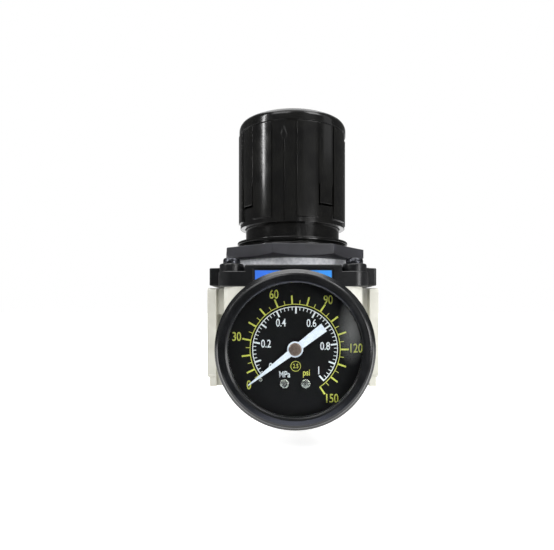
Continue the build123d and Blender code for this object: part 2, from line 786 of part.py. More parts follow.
def make_panel_nut():
    """Eight-sided panel nut with a chamfered lower edge."""
    face = RegularPolygon(nut_corner_r, nut_sides, rotation=180 / nut_sides + nut_turn)
    shape = extrude(Pos(0, 0, ring_top) * face, nut_height)
    flat_r = nut_corner_r * cos(pi / nut_sides)
    cone_top = ring_top + nut_chamfer
    lower = Pos(0, 0, ring_top + nut_chamfer / 2) * Cone(
        flat_r - nut_chamfer * 0.6, nut_corner_r + 0.2, nut_chamfer)
    shape &= lower + disc(nut_corner_r + 0.2, cone_top, nut_top)
    shape -= disc(panel_thread_r + thread_gap, ring_top, nut_top)
    return chamfer(shape.edges().filter_by(GeomType.CIRCLE).group_by(Axis.Z)[-1], 0.5)


def make_adjusting_screw():
    """Screw that the knob turns: hex drive, journal, collar and threaded tail."""
    shape = disc(screw_thread_r, screw_end, sleeve_top + moulding_gap)
    shape = chamfer(shape.edges().group_by(Axis.Z)[0], 0.7)
    shape += disc(screw_collar_r, collar_under, collar_top)
    face = RegularPolygon(hex_across_flats / 2, 6, major_radius=False, rotation=knob_turned)
    drive = extrude(Pos(0, 0, sleeve_top + moulding_gap) * face, hex_length)
    return shape + chamfer(drive.edges().group_by(Axis.Z)[-1], 0.4)


def make_spring_nut():
    """Nut that rides down the screw and presses the main spring."""
    shape = disc(spring_nut_r, spring_nut_under, spring_nut_top)
    shape = chamfer(shape.edges().group_by(Axis.Z)[-1], 1.5)
    half = spring_guide_width / 2 - 0.15
    lugs = block(-spring_guide_r, spring_guide_r, -half, half, spring_nut_under,
                 spring_nut_top - 2.0)
    shape += lugs & disc(spring_guide_r - moulding_gap, spring_nut_under, spring_nut_top)
    shape += disc(spring_nut_spigot_r, spring_nut_under - spring_nut_spigot, spring_nut_under)
    shape -= disc(screw_thread_r + running_gap, spring_nut_under - spring_nut_spigot,
                  spring_nut_top)
    return shape


def make_knob():
    """Moulded grip: cap band, four recesses, tall panels, latch tongues and the socket."""
    shape = disc(knob_base_r, knob_base, cap_base)
    cap = disc(knob_cap_r, cap_base + knob_cap_groove, knob_top)
    cap = fillet(cap.edges().group_by(Axis.Z)[-1], knob_top_r)
    shape += disc(knob_base_r, cap_base, cap_base + knob_cap_groove) + cap
    root_r = knob_base_r - 0.5
    line = degrees_on(panel_line, tongue_r)
    for number in range(4):
        middle = recess_direction + 90.0 * number
        first = middle + recess_half_angle
        second = first + tall_panel_angle
        third = second + 2 * tongue_half_angle
        for start in (first, third):
            shape += sector(root_r, knob_r, start, start + tall_panel_angle,
                            knob_base + tall_panel_base, cap_base)
        shape += sector(root_r, tongue_r, second + line, third - line, knob_base + tongue_base,
                        cap_base)
    shape -= disc(knob_bore_r, knob_base, knob_base + knob_skirt_height)
    shape -= disc(knob_upper_bore_r, knob_base, knob_top - knob_roof)
    shape += disc(socket_wall_r, socket_under, knob_top - knob_roof)
    for turn in (0, 90):
        rib = block(-knob_upper_bore_r - 0.2, knob_upper_bore_r + 0.2, -socket_rib / 2,
                    socket_rib / 2, socket_under + 2, knob_top - knob_roof)
        shape += Rot(0, 0, turn + recess_direction) * rib
    flats = hex_across_flats + 2 * running_gap
    face = RegularPolygon(flats / 2, 6, major_radius=False, rotation=knob_turned)
    shape -= extrude(Pos(0, 0, socket_under) * face, socket_roof - socket_under)
    for number in range(4):
        middle = recess_direction + 90.0 * number
        shape -= recess_seam(middle)
        shape += Rot(0, 0, middle) * recess_mark()
        shape -= latch_slit(middle + 45.0)
        shape += latch_catch(middle + 45.0)
    return shape


def degrees_on(width, radius):
    """Angle that a width takes up on a radius."""
    return width / radius * 180 / pi


def recess_seam(direction):
    """Fine upright seam down the middle of a recess."""
    half = degrees_on(recess_seam_width / 2, knob_base_r)
    return sector(knob_base_r - recess_seam_depth, knob_base_r + 1, direction - half,
                  direction + half, knob_base, cap_base - seam_below_cap)


def recess_mark():
    """Raised drop, pointed at the top, at the head of a recess, drawn towards +X."""
    tip = knob_mark_height - knob_mark_r
    lean = degrees(asin(knob_mark_r / tip))
    touch_x = knob_mark_r * cos(radians(lean))
    touch_y = knob_mark_r * sin(radians(lean))
    drop = [Line((0, tip), (-touch_x, touch_y)),
            ThreePointArc((-touch_x, touch_y), (0, -knob_mark_r), (touch_x, touch_y)),
            Line((touch_x, touch_y), (0, tip))]
    foot = cap_base - knob_mark_below_cap - tip
    face = Plane(origin=(knob_base_r - 0.5, 0, foot), x_dir=(0, 1, 0), z_dir=(1, 0, 0))
    return extrude(face * make_face(drop), 0.5 + knob_mark_rise)


def latch_slit(direction):
    """U-shaped slit through the wall that frees a latch tongue."""
    start = direction - tongue_half_angle
    end = direction + tongue_half_angle
    width = degrees_on(slit_width, knob_base_r)
    high = knob_base + tongue_top
    inner = knob_upper_bore_r - 1
    outer = knob_r + 1
    left = sector(inner, outer, start, start + width, slit_z, high)
    right = sector(inner, outer, end - width, end, slit_z, high)
    return left + right + sector(inner, outer, start, end, slit_z, slit_z + slit_width)


def latch_catch(direction):
    """Inner catch of a latch tongue, under the bead on the sleeve."""
    return sector(sleeve_r + moulding_gap, knob_upper_bore_r + 0.3, direction - catch_half_angle,
                  direction + catch_half_angle, catch_z, catch_z + catch_height)


make_order = [
    ("body", make_body),
    ("cover_frame", make_cover_frame),
    ("bonnet", make_bonnet),
    ("panel_nut", make_panel_nut),
    ("knob", make_knob),
    ("adjusting_screw", make_adjusting_screw),
    ("spring_nut", make_spring_nut),
    ("valve_poppet", make_valve_poppet),
    ("bottom_plug", make_bottom_plug),
    ("valve_seal", make_valve_seal),
    ("spring_seat", make_spring_seat),
    ("diaphragm", make_diaphragm),
    ("relief_rivet", make_relief_rivet),
    ("rear_port_plug", make_rear_port_plug),
    ("label_plate", make_label_plate),
]
for piece_name, make_piece in make_order:
    write(make_piece(), piece_name)

# Rings, springs and other small pieces of the regulator
write(disc(clamp_ring_r, frame_top, ring_top)
      - disc(panel_thread_r + thread_gap, frame_top, ring_top), "clamp_ring")
write(disc(screw_collar_r, collar_top, roof_under)
      - disc(screw_thread_r + running_gap, collar_top, roof_under), "thrust_washer")
write(coil(main_spring_mean_r, main_spring_wire, 8, plate_top_z, spring_nut_under,
           main_spring_turns, ground=True), "main_spring")
write(coil(valve_spring_mean_r, valve_spring_wire, 6, plug_cavity_z, cup_base,
           valve_spring_turns, ground=False), "valve_spring")
write(ring(poppet_guide_r - poppet_ring_r + press_gap, poppet_ring_r, poppet_ring_z),
      "poppet_o_ring")
write(ring(chamber_r - plug_ring_r, plug_ring_r, plug_top - plug_ring_below_top),
      "bottom_plug_o_ring")
for number, (x, y) in enumerate(corners, start=1):
    write(Pos(x, y, 0) * make_cover_screw(), f"cover_screw_{number}")

# Gauge pieces are drawn facing +Z at their distance forward of the upright axis
gauge_frame = Plane(origin=(0, 0, port_z), x_dir=(1, 0, 0), z_dir=(0, -1, 0)).location


def write_gauge(piece, name):
    """Save a gauge piece, turned from its drawing position to face the front."""
    write(gauge_frame * piece, name)


def make_gauge_case():
    """Drawn steel cup with a round hole for the socket."""
    shape = disc(case_r, case_rear, case_front)
    shape = fillet(shape.edges().group_by(Axis.Z)[0], case_edge_r)
    cup = disc(case_r - case_wall, case_rear + case_wall, case_front)
    cup = fillet(cup.edges().group_by(Axis.Z)[0], case_edge_r - case_wall)
    return shape - cup - disc(socket_neck_r + press_gap, case_rear, case_rear + case_wall)


def make_bezel():
    """Turned ring that holds the glass, with a stepped outer lip."""
    rear = bezel_front - bezel_depth
    outline = [
        (case_r + press_gap, rear), (bezel_r, rear), (bezel_r, bezel_front - 1.5),
        (bezel_lip_r + 0.25, bezel_front - 1.1), (bezel_lip_r, bezel_front - 0.9),
        (bezel_lip_r - 0.35, bezel_front - 0.25), (bezel_lip_r - 0.95, bezel_front),
        (bezel_opening_r + 0.8, bezel_front), (bezel_opening_r + 0.2, bezel_front - 0.25),
        (bezel_opening_r, bezel_front - 0.7), (bezel_opening_r, glass_front),
        (case_r + press_gap, glass_front)]
    return turned(outline)


def make_pointer():
    """Punched pointer with its boss, drawn towards +X and turned to its rest."""
    outline = [(pointer_tip_at, -pointer_tip_half), (pointer_tip_at, pointer_tip_half),
               (0, pointer_hub_half), (-pointer_tail_at, pointer_tail_half),
               (-pointer_tail_at, -pointer_tail_half), (0, -pointer_hub_half)]
    shape = polygon_prism(outline, pointer_rear, pointer_front)
    shape += disc(pointer_boss_r, pointer_rear, pointer_front)
    shape -= disc(shaft_r + press_gap, pointer_rear, pointer_front)
    return Rot(0, 0, pointer_angle) * shape


def make_pinion_shaft():
    """Shaft with the pinion and the hairspring's collet."""
    tooth_phase = sector_pivot_angle + 180 / pinion_teeth + mesh_turn
    outline = gear_outline(pinion_teeth, gear_backlash / 4, 0.9 * gear_module,
                           1.25 * gear_module, range(pinion_teeth), tooth_phase)
    shape = disc(shaft_r, rear_plate_at + shaft_end_gap, pointer_front)
    shape += polygon_prism(outline, pinion_rear, pinion_front)
    return shape + disc(collet_r, pinion_front,
                        hairspring_rear + hairspring_width + hairspring_gap)


def make_sector_gear():
    """Toothed sector with a window, its hub and the tail with the link pin."""
    half = sector_cut_teeth // 2
    numbers = [number + 0.5 for number in range(-half, half)]
    to_pinion = sector_pivot_angle + 180 - sector_swing / 2
    outline = gear_outline(sector_teeth, gear_backlash / 4, 0.8 * gear_module,
                           1.25 * gear_module, numbers, to_pinion)
    low = sector_rear
    high = sector_rear + sector_thick
    shape = polygon_prism(outline + [(0, 0)], low, high)
    root_r = sector_pitch_r - 1.25 * gear_module
    spread = 360 / sector_teeth * half - sector_arm_angle
    shape -= sector(sector_hub_r + 0.8, root_r - sector_rim, to_pinion - spread,
                    to_pinion + spread, low, high)
    shape += disc(sector_hub_r, low, high)
    tail = block(0, tail_length, -tail_half * 0.6, tail_half * 0.6, low, high)
    tail += disc(tail_half, low, high, tail_length, 0)
    tail += disc(link_pin_r, link_rear - link_pin_gap, low, tail_length, 0)
    shape += Rot(0, 0, tail_rest_angle) * tail
    shape -= disc(arbor_r + press_gap, low, high)
    return Pos(pivot_x, pivot_y, 0) * shape


def make_link():
    """Flat link between the sector's tail and the tip of the tube."""
    along = Vector(eye_x - tail_x, eye_y - tail_y, 0)
    top = link_rear + link_thick
    shape = block(0, along.length, -link_half, link_half, link_rear, top)
    shape += disc(link_eye_r, link_rear, top) + disc(link_eye_r, link_rear, top, along.length, 0)
    shape -= disc(link_pin_r + running_gap, link_rear, top)
    shape += disc(link_pin_r, tip_plate_front + link_pin_gap, link_rear, along.length, 0)
    turn = degrees(atan2(along.Y, along.X))
    return Pos(tail_x, tail_y, 0) * Rot(0, 0, turn) * shape


def tube_loop(half_thick, width):
    """C-shaped bar of flat oval section, in eight flats."""
    corner = half_thick * 0.55
    edge = width / 2 - half_thick * 0.7
    quarter = [(half_thick, edge), (corner, width / 2)]
    upper = quarter + [(-r, h) for r, h in reversed(quarter)]
    oval = upper + [(r, -h) for r, h in reversed(upper)]
    middle = tube_rear + tube_width / 2
    face = make_face(Polyline(*[(tube_mean_r + r, 0, middle + h) for r, h in oval], close=True))
    return Rot(0, 0, tube_end_angle) * revolve(face, Axis.Z, tube_root_angle - tube_end_angle)


def make_bourdon_tube():
    """C-shaped flat tube, open at its root."""
    inner = tube_loop(tube_half_thick - tube_wall, tube_width - 2 * tube_wall)
    return tube_loop(tube_half_thick, tube_width) - inner


def make_tube_tip():
    """End piece soldered on the tube, with the ear for the link."""
    edge = tube_half_thick + tip_grip
    root_angle = tube_end_angle - tip_angle
    shape = sector(tube_mean_r - edge, tube_mean_r + edge, root_angle, tube_end_angle,
                   tube_rear, tube_front)
    shape += sector(tube_mean_r - tip_eye_r, tube_mean_r + tip_eye_r, tip_eye_angle, root_angle,
                    tip_plate_rear, tip_plate_front)
    return shape + disc(tip_eye_r, tip_plate_rear, tip_plate_front, eye_x, eye_y)


def make_gauge_socket():
    """Brass connection: threaded stem, hex, neck, block and the foot of the tube."""
    stem_rear = body_half_y - gauge_port_depth + 1
    hex_rear = body_half_y + gauge_hex_gap
    shape = disc(gauge_stem_r - thread_gap, stem_rear, hex_rear)
    hex_face = RegularPolygon(gauge_hex_flats / 2, 6, major_radius=False)
    shape += extrude(Pos(0, 0, hex_rear) * hex_face, case_rear - hex_rear)
    inner_rear = case_rear + case_wall
    shape += disc(socket_neck_r, case_rear, inner_rear)
    shape += block(-socket_half_x, socket_half_x, -socket_bottom, socket_top, inner_rear,
                   rear_plate_at)
    shape += block(socket_foot_left, socket_foot_right, -socket_bottom, socket_foot_top,
                   rear_plate_at - 3, tube_front)
    shape &= disc(case_r - case_wall - socket_case_gap, stem_rear, tube_front)
    shape -= disc(gauge_passage_r, stem_rear, rear_plate_at - socket_bore_stop)
    return shape - tube_loop(tube_half_thick, tube_width)


def movement_plate(rear, holes):
    """Brass plate of the movement with its bearing holes."""
    width = plate_right - plate_left
    height = plate_top - plate_bottom
    face = RectangleRounded(width, height, plate_corner_r)
    centre = Pos((plate_left + plate_right) / 2, (plate_bottom + plate_top) / 2, rear)
    shape = extrude(centre * face, movement_plate_thick)
    for x, y, r in holes:
        shape -= disc(r, rear, rear + movement_plate_thick, x, y)
    return shape


def make_hairspring():
    """Flat spiral between the collet and its stud on the front plate."""
    steps = 12
    inner = []
    outer = []
    for step in range(int(hairspring_turns * steps) + 1):
        angle = 2 * pi * step / steps
        radius = hairspring_inner_r + hairspring_pitch * step / steps
        inner.append((radius * cos(angle), radius * sin(angle)))
        radius += hairspring_thick
        outer.append((radius * cos(angle), radius * sin(angle)))
    spiral = polygon_prism(inner + outer[::-1], hairspring_rear,
                           hairspring_rear + hairspring_width)
    end_x, end_y = outer[-1]
    return spiral + disc(hairspring_stud_r, hairspring_rear, front_plate_at, end_x, end_y)


def make_dial():
    """Dial plate with holes for the shaft, its two screws and the stop pin."""
    dial = disc(dial_r, dial_rear, dial_front) - disc(dial_hole_r, dial_rear, dial_front)
    for x in (-dial_screw_x, dial_screw_x):
        dial -= disc(dial_screw_r + press_gap, dial_rear, dial_front, x, dial_screw_y)
    return dial - disc(stop_pin_r, dial_rear, dial_front, stop_pin_x, stop_pin_y)


def make_stop_pin():
    """Pin in the dial that the resting pointer leans on."""
    pin = disc(stop_pin_r, dial_rear, dial_front + stop_pin_height, stop_pin_x, stop_pin_y)
    return chamfer(pin.edges().group_by(Axis.Z)[-1], 0.15)


def make_dial_screw(x):
    """Round-headed screw that holds the dial on a post."""
    top = dial_front + dial_screw_head
    edge = dial_screw_head_r - 0.35
    head = turned([(0, dial_front), (dial_screw_head_r, dial_front),
                   (dial_screw_head_r, dial_front + 0.3), (edge, top), (0, top)])
    head += disc(dial_screw_r, dial_front - dial_screw_length, dial_front)
    return Pos(x, dial_screw_y, 0) * head


def make_pointer_cap():
    """Pressed cap on the end of the shaft."""
    top = pointer_front + cap_height
    return turned([(0, pointer_front), (cap_r, pointer_front), (cap_r, top - 0.25),
                   (cap_r - 0.25, top), (0, top)])


def make_front_plate():
    """Front plate of the movement, with the two posts that carry the dial."""
    shape = movement_plate(front_plate_at, bearings)
    for x in (-dial_screw_x, dial_screw_x):
        post = disc(dial_post_r, front_plate_top, dial_rear, x, dial_screw_y)
        shape += post - disc(dial_screw_r + press_gap, dial_front - dial_screw_length,
                             dial_rear, x, dial_screw_y)
    return shape


bearings = [(0, 0, shaft_r + running_gap), (pivot_x, pivot_y, arbor_r + running_gap)]
gauge_order = [
    ("gauge_case", make_gauge_case),
    ("gauge_bezel", make_bezel),
    ("gauge_dial", make_dial),
    ("stop_pin", make_stop_pin),
    ("pointer", make_pointer),
    ("pointer_cap", make_pointer_cap),
    ("pinion_shaft", make_pinion_shaft),
    ("sector_gear", make_sector_gear),
    ("sector_link", make_link),
    ("bourdon_tube", make_bourdon_tube),
    ("tube_tip", make_tube_tip),
    ("gauge_socket", make_gauge_socket),
    ("front_plate", make_front_plate),
    ("hairspring", make_hairspring),
]
for piece_name, make_piece in gauge_order:
    write_gauge(make_piece(), piece_name)
write_gauge(disc(glass_r, glass_rear, glass_front), "gauge_glass")
write_gauge(disc(case_r, case_front, glass_rear)
            - disc(gasket_inner_r, case_front, glass_rear), "glass_gasket")
write_gauge(make_dial_screw(-dial_screw_x), "dial_screw_left")
write_gauge(make_dial_screw(dial_screw_x), "dial_screw_right")
write_gauge(disc(arbor_r, rear_plate_at + shaft_end_gap, front_plate_top - link_pin_gap,
                 pivot_x, pivot_y), "sector_arbor")
write_gauge(movement_plate(rear_plate_at, bearings), "rear_plate")
for number, (x, y) in enumerate(pillar_places, start=1):
    pillar = disc(pillar_r, rear_plate_at + movement_plate_thick, front_plate_at, x, y)
    write_gauge(pillar, f"plate_pillar_{number}")
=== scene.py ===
from math import cos, pi, radians, sin

import bmesh
import bpy
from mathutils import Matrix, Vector


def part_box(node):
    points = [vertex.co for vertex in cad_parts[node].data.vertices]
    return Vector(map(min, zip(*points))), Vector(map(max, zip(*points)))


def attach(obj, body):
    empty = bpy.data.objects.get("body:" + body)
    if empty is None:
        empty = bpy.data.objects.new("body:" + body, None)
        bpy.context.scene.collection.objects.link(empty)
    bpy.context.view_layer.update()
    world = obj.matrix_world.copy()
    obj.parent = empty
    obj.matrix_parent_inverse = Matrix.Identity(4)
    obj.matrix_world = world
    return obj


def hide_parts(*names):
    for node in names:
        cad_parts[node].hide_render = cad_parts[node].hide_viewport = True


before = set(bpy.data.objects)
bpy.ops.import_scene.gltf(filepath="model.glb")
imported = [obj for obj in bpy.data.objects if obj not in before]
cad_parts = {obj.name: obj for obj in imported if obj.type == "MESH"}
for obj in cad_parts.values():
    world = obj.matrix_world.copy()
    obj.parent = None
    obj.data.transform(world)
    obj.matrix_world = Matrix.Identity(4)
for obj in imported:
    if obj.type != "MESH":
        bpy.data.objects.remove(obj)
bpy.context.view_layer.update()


# Body: an aluminium pressure die casting with a coupling flange on each side.
# It is sprayed pearl grey after its ports and valve chamber are machined.

mm = 0.001
body_edge = 0.22
body_slate = "#CBCABF"
body_pearl = "#D8D7CE"
weld_distance = 0.001
flat_enough = 0.3


def linear(colour):
    """Turn an sRGB hex colour into the linear values that a shader takes."""
    channels = [int(colour[i:i + 2], 16) / 255 for i in (1, 3, 5)]
    return [c / 12.92 if c <= 0.04045 else ((c + 0.055) / 1.055) ** 2.4 for c in channels] + [1]


def add_node(material, kind, values=None, links=None, **settings):
    """Add a shader node, set its options and sockets, and link what feeds it."""
    node = material.node_tree.nodes.new("ShaderNode" + kind)
    for name, setting in settings.items():
        setattr(node, name, setting)
    for name, value in (values or {}).items():
        node.inputs[name].default_value = value
    for name, source in (links or {}).items():
        material.node_tree.links.new(source, node.inputs[name])
    return node


def across(size_mm):
    """Texture scale at which one pattern cell measures this size on the object."""
    return 1 / (size_mm * mm)


def new_material(name, **values):
    """Material with one Principled shader, its sockets set by their names."""
    material = bpy.data.materials.new(name)
    material.use_nodes = True
    material.node_tree.nodes.clear()
    shader = add_node(material, "BsdfPrincipled", values)
    add_node(material, "OutputMaterial", links={"Surface": shader.outputs["BSDF"]})
    return material, shader


def object_noise(material, size_mm, detail=3.0, roughness=0.55):
    """Noise whose cells have a real size, fixed to the piece."""
    place = add_node(material, "TexCoord").outputs["Object"]
    return add_node(material, "TexNoise", {"Scale": across(size_mm), "Detail": detail,
                                           "Roughness": roughness}, {"Vector": place})


def mottle(material, shader, first, second, source, low=0.4, high=0.6):
    """Vary the colour between two shades by a pattern."""
    ramp = add_node(material, "ValToRGB", links={"Fac": source})
    ramp.color_ramp.elements[0].position = low
    ramp.color_ramp.elements[0].color = linear(first)
    ramp.color_ramp.elements[1].position = high
    ramp.color_ramp.elements[1].color = linear(second)
    material.node_tree.links.new(ramp.outputs["Color"], shader.inputs["Base Color"])


def vary_roughness(material, shader, source, low, high):
    """Vary the roughness between two values by a pattern."""
    spread = add_node(material, "MapRange", {"From Min": 0.3, "From Max": 0.7, "To Min": low,
                                             "To Max": high}, {"Value": source})
    material.node_tree.links.new(spread.outputs["Result"], shader.inputs["Roughness"])


def relief(material, shader, source, height_mm, strength=1.0, under=None):
    """Raise the surface by a pattern of a real height."""
    links = {"Height": source}
    if under:
        links["Normal"] = under.outputs["Normal"]
    bump = add_node(material, "Bump", {"Distance": height_mm * mm, "Strength": strength}, links)
    material.node_tree.links.new(bump.outputs["Normal"], shader.inputs["Normal"])
    return bump


def die_cast_paint():
    """Sprayed paint on die-cast aluminium: even and satin, with a faint orange peel."""
    material, shader = new_material("painted_die_cast_aluminium", IOR=1.5)
    cloud = object_noise(material, 9.0)
    mottle(material, shader, body_slate, body_pearl, cloud.outputs["Fac"], 0.35, 0.65)
    peel = object_noise(material, 0.9, 2.0)
    vary_roughness(material, shader, peel.outputs["Fac"], 0.36, 0.5)
    waves = relief(material, shader, peel.outputs["Fac"], 0.02, 0.6)
    grain = object_noise(material, 0.25, 1.0)
    relief(material, shader, grain.outputs["Fac"], 0.01, 0.35, waves)
    return material


def pick(piece):
    """Make one piece the only selected and active one."""
    bpy.ops.object.select_all(action="DESELECT")
    piece.select_set(True)
    bpy.context.view_layer.objects.active = piece


def finish_edges(piece, width_mm, steps=3, angle=30, smooth=35):
    """Round the edges of a piece and shade it as a smooth moulded or cast surface."""
    pick(piece)
    if width_mm:
        bevel = piece.modifiers.new("edges", "BEVEL")
        bevel.width = width_mm * mm
        bevel.segments = steps
        bevel.limit_method = "ANGLE"
        bevel.angle_limit = radians(angle)
        bevel.use_clamp_overlap = False
        bevel.miter_outer = "MITER_SHARP"
        bpy.ops.object.modifier_apply(modifier="edges")
    bpy.ops.object.shade_smooth_by_angle(angle=radians(smooth))
    even = piece.modifiers.new("even", "WEIGHTED_NORMAL")
    even.keep_sharp = True
    bpy.ops.object.modifier_apply(modifier="even")


def copy_of(node, name):
    """Copy a made piece and join its facets into whole faces."""
    piece = bpy.data.objects.new(name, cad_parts[node].data.copy())
    piece.data.name = name
    bpy.context.scene.collection.objects.link(piece)
    pick(piece)
    bpy.ops.object.mode_set(mode="EDIT")
    bpy.ops.mesh.select_all(action="SELECT")
    bpy.ops.mesh.remove_doubles(threshold=weld_distance * mm)
    bpy.ops.mesh.dissolve_limited(angle_limit=radians(flat_enough))
    bpy.ops.object.mode_set(mode="OBJECT")
    return piece


def coat(piece, *materials):
    """Give a piece its materials in place of any that it has."""
    piece.data.materials.clear()
    for material in materials:
        piece.data.materials.append(material)


def place_for(piece, node, body):
    """Put a finished piece in the place of a made one, on its body and finish."""
    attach(piece, body)
    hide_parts(node)


body = copy_of("body", "body_casting")
finish_edges(body, body_edge)
coat(body, die_cast_paint())
place_for(body, "body", "housing")


# Valve: a turned brass poppet, the relief rivet and the spring nut, all off the lathe.
# The seal, the diaphragm and the O-rings are moulded nitrile rubber.


def turned_brass():
    """Free-cutting brass off the lathe: warm yellow, with fine rings from the tool."""
    material, shader = new_material("turned_brass", Metallic=1.0)
    cloud = object_noise(material, 6.0)
    mottle(material, shader, "#C29B4E", "#D8B468", cloud.outputs["Fac"], 0.35, 0.65)
    place = add_node(material, "TexCoord").outputs["Object"]
    rings = add_node(material, "TexWave", {"Scale": across(0.35) / (2 * pi), "Distortion": 0.6,
                                           "Detail": 2.0}, {"Vector": place},
                     bands_direction="Z")
    vary_roughness(material, shader, cloud.outputs["Fac"], 0.22, 0.36)
    relief(material, shader, rings.outputs["Fac"], 0.006, 0.5)
    return material


def nitrile_rubber():
    """Moulded nitrile rubber: soft black with a dull skin."""
    material, shader = new_material("nitrile_rubber", IOR=1.52)
    dust = object_noise(material, 1.2, 4.0)
    mottle(material, shader, "#191919", "#262625", dust.outputs["Fac"])
    vary_roughness(material, shader, dust.outputs["Fac"], 0.55, 0.75)
    relief(material, shader, dust.outputs["Fac"], 0.02, 0.4)
    return material


def dress(nodes, material):
    """Give made pieces, kept as they are, their material."""
    for node in nodes:
        coat(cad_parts[node], material)


brass = turned_brass()
rubber = nitrile_rubber()
dress(["valve_poppet", "relief_rivet", "spring_nut"], brass)
dress(["bottom_plug_o_ring", "poppet_o_ring", "valve_seal", "diaphragm", "glass_gasket"], rubber)


# Springs, screw, washer and plates: steel pieces that work inside the casting and bonnet.
# They are drawn wire, turned bar and pressed sheet, zinc plated against damp air.


def zinc_steel():
    """Bright zinc-plated steel: cool grey with a mottled plating."""
    material, shader = new_material("zinc_plated_steel", Metallic=1.0)
    cloud = object_noise(material, 2.5, 4.0)
    mottle(material, shader, "#9FA2A6", "#BFC2C6", cloud.outputs["Fac"], 0.3, 0.7)
    vary_roughness(material, shader, cloud.outputs["Fac"], 0.28, 0.45)
    relief(material, shader, cloud.outputs["Fac"], 0.01, 0.4)
    return material


steel = zinc_steel()
dress(["main_spring", "valve_spring", "adjusting_screw", "thrust_washer", "spring_seat",
       "rear_port_plug", "sector_arbor", "pinion_shaft"], steel)


# Bonnet: a black acetal moulding with the panel thread, the neck and the sleeve in the knob.
# Its flange lies on the casting under the cover frame.

bonnet_edge = 0.25


def acetal_black():
    """Moulded acetal, black: smooth and glossy, with the slight waves of a thick wall."""
    material, shader = new_material("moulded_black_acetal", IOR=1.48)
    shader.inputs["Specular IOR Level"].default_value = 0.4
    haze = object_noise(material, 6.0, 1.0)
    mottle(material, shader, "#0F0F0F", "#131312", haze.outputs["Fac"])
    vary_roughness(material, shader, haze.outputs["Fac"], 0.13, 0.19)
    waves = relief(material, shader, haze.outputs["Fac"], 0.01, 0.3)
    grain = object_noise(material, 0.3, 1.0)
    relief(material, shader, grain.outputs["Fac"], 0.001, 0.4, waves)
    return material


acetal = acetal_black()
bonnet = copy_of("bonnet", "bonnet_moulding")
finish_edges(bonnet, bonnet_edge)
coat(bonnet, acetal)
place_for(bonnet, "bonnet", "housing")


# Cover frame: a glass-filled nylon moulding, black, that clamps the bonnet to the casting.
# Four bosses take the screws, and an ear at each side covers the flange's coupling groove.
# The fluted valve guide under the casting is a moulding of the same nylon.

cover_edge = 0.3


def filled_nylon():
    """Glass-filled nylon, black: half matt, with pale flecks of fibre under its skin."""
    material, shader = new_material("glass_filled_nylon", IOR=1.53)
    shader.inputs["Specular IOR Level"].default_value = 0.4
    flecks = object_noise(material, 0.35, 4.0, 0.7)
    mottle(material, shader, "#0E0F11", "#191A1C", flecks.outputs["Fac"], 0.45, 0.75)
    vary_roughness(material, shader, flecks.outputs["Fac"], 0.26, 0.4)
    relief(material, shader, flecks.outputs["Fac"], 0.006, 0.4)
    return material


nylon = filled_nylon()
cover = copy_of("cover_frame", "cover_moulding")
finish_edges(cover, cover_edge)
coat(cover, nylon)
place_for(cover, "cover_frame", "housing")
dress(["bottom_plug"], nylon)


# Label: a printed polyester film in a shallow recess on the front of the cover frame.
# A plain blue field, lighter to the right, with a black edge.

label_border = 0.35
label_ink_height = 0.02
label_low, label_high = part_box("label_plate")


def printed_film():
    """Screen-printed polyester film: a blue field under a clear glossy face."""
    material, shader = new_material("printed_polyester_film", IOR=1.57)
    shader.inputs["Coat Weight"].default_value = 0.5
    shader.inputs["Coat Roughness"].default_value = 0.12
    place = add_node(material, "TexCoord").outputs["Object"]
    parts = add_node(material, "SeparateXYZ", links={"Vector": place})
    along = add_node(material, "MapRange", {"From Min": label_low.x, "From Max": label_high.x},
                     {"Value": parts.outputs["X"]})
    mottle(material, shader, "#2F6FE0", "#2E8EE8", along.outputs["Result"], 0.1, 0.9)
    fibre = object_noise(material, 0.5, 2.0)
    vary_roughness(material, shader, fibre.outputs["Fac"], 0.3, 0.4)
    relief(material, shader, fibre.outputs["Fac"], 0.004, 0.3)
    return material


def black_ink():
    """Black screen ink on film, a little duller than the field."""
    material, shader = new_material("black_screen_ink", IOR=1.5)
    grain = object_noise(material, 0.2, 2.0)
    mottle(material, shader, "#0E0E10", "#18181A", grain.outputs["Fac"])
    vary_roughness(material, shader, grain.outputs["Fac"], 0.35, 0.5)
    return material


def box_primitive(name, low, high):
    """Start a piece as a box between two corners, in edit mode with all of it selected."""
    pick_none()
    middle = (Vector(low) + Vector(high)) / 2
    bpy.ops.mesh.primitive_cube_add(size=1, location=middle)
    piece = bpy.context.object
    piece.name = name
    piece.data.name = name
    piece.scale = Vector(high) - Vector(low)
    bpy.ops.object.transform_apply(location=True, rotation=True, scale=True)
    bpy.ops.object.mode_set(mode="EDIT")
    bpy.ops.mesh.select_all(action="SELECT")
    return piece


def pick_none():
    """Leave nothing selected."""
    bpy.ops.object.select_all(action="DESELECT")


def select_faces(piece, chosen):
    """In edit mode, select just the faces that a test on centre and normal accepts."""
    bpy.ops.mesh.select_mode(type="FACE")
    bpy.ops.mesh.select_all(action="DESELECT")
    edit = bmesh.from_edit_mesh(piece.data)
    for face in edit.faces:
        face.select_set(chosen(face.calc_center_median(), face.normal))
    edit.select_flush_mode()
    bmesh.update_edit_mesh(piece.data)


label = box_primitive("label_film", label_low, label_high)
select_faces(label, lambda centre, normal: normal.y < -0.9)
bpy.ops.mesh.inset(thickness=label_border * mm)
bpy.ops.mesh.extrude_region_move(TRANSFORM_OT_translate={"value": (0, -label_ink_height * mm, 0)})
bpy.ops.object.mode_set(mode="OBJECT")
coat(label, black_ink(), printed_film())
for face in label.data.polygons:
    face.material_index = 1 if face.normal.y < -0.9 and face.center.y < label_low.y else 0
finish_edges(label, 0)
place_for(label, "label_plate", "housing")


# Cover screws: four pan-head machine screws with a cross recess, black zinc on steel.
# They go through the bosses of the cover frame into the casting.

screw_edge = 0.08


